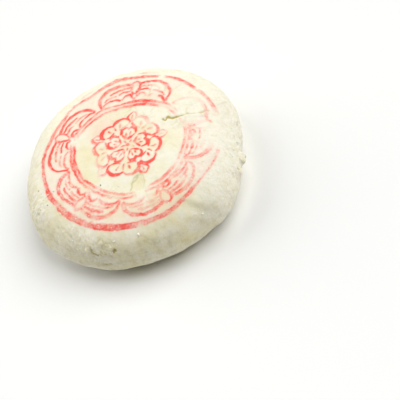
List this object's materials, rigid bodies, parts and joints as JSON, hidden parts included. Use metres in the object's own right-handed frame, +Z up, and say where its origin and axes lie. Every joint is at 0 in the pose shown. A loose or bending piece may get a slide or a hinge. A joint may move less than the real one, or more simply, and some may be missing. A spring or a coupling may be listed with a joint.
{
  "type": "flower cake",
  "caption": "Round, flat, uncut flower pastry with a soft shoulder, bulging side and flat foot, with a red print on its pale crust.",
  "frame": {"origin": "middle of the flat foot, on the surface that the cake stands on", "axes": "+Z up through the top; -Y is the side from which the print on the top reads upright, +X to its right"},
  "size_m": [0.0782, 0.0798, 0.023],
  "materials": {
    "pale_crust": "dull, dry baked pastry with a red food-colour print"
  },
  "bodies": {
    "root": {"cake": "pale_crust"}
  },
  "joints": []
}
